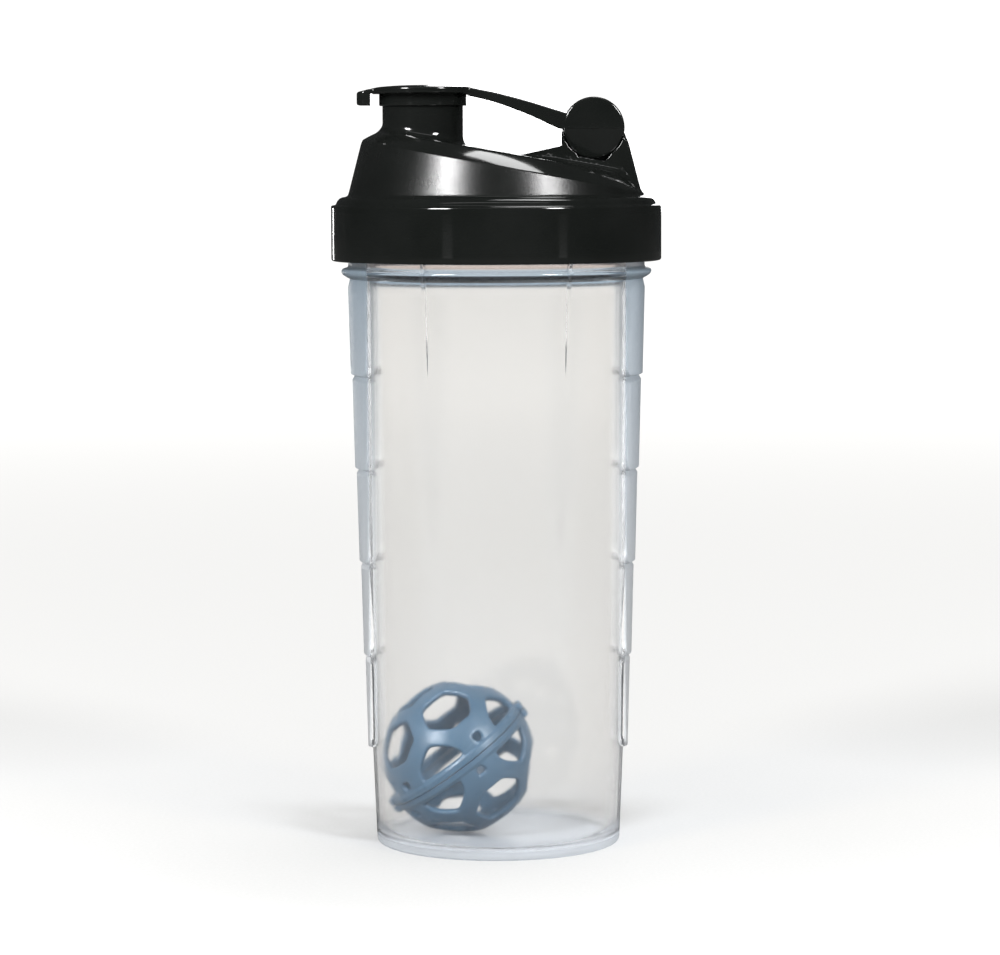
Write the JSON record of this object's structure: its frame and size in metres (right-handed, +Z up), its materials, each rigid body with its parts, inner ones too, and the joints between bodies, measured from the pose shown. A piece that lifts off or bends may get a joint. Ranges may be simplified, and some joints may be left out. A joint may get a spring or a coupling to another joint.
{
  "type": "protein shaker bottle",
  "caption": "Clear tapered shaker cup with stepped grip pads, black screw lid with slanted deck and spout, hinged flip cap and a loose windowed mixing ball.",
  "frame": {"origin": "centre of the foot ring, on the surface that the bottle stands on", "axes": "+Z up the cup's axis, -X towards the drinking spout, +X towards the flip cap's hinge, +Y along the hinge axis"},
  "size_m": [0.097, 0.097, 0.2237],
  "materials": {
    "cup_plastic": "clear, slightly milky polypropylene, smooth window with satin grip pads",
    "lid_plastic": "black polypropylene, glossy, with a fine satin grain on the dome wall",
    "cap_plastic": "black polypropylene, glossy",
    "seal_silicone": "translucent white silicone, matt",
    "ball_plastic": "translucent blue-grey polypropylene, satin"
  },
  "bodies": {
    "cup": {"cup": "cup_plastic"},
    "gasket": {"lid_gasket": "seal_silicone"},
    "lid": {"lid_shell": "lid_plastic"},
    "flip_cap": {"flip_cap": "cap_plastic", "spout_seal": "seal_silicone"},
    "ball": {"ball_half_upper": "ball_plastic", "ball_half_lower": "ball_plastic"}
  },
  "joints": [
    {"name": "lid_lift", "type": "slide", "parent": "cup", "child": "gasket", "axis": [0, 0, 1], "range_m": [0, 0.0241]},
    {"name": "lid_turn", "type": "hinge", "parent": "gasket", "child": "lid", "pos_m": [0, 0, 0.18], "axis": [0, 0, 1], "range_deg": [0, 1080]},
    {"name": "cap_hinge", "type": "hinge", "parent": "lid", "child": "flip_cap", "pos_m": [0.0285, 0, 0.21105], "axis": [0, 1, 0], "range_deg": [0, 150]},
    {"name": "ball_travel", "type": "slide", "parent": "cup", "child": "ball", "axis": [0, 0, 1], "range_m": [0, 0.14]}
  ],
  "couplings": [
    {"joint": "lid_lift", "follows": "lid_turn", "m_per_rad": 0.0012732}
  ]
}
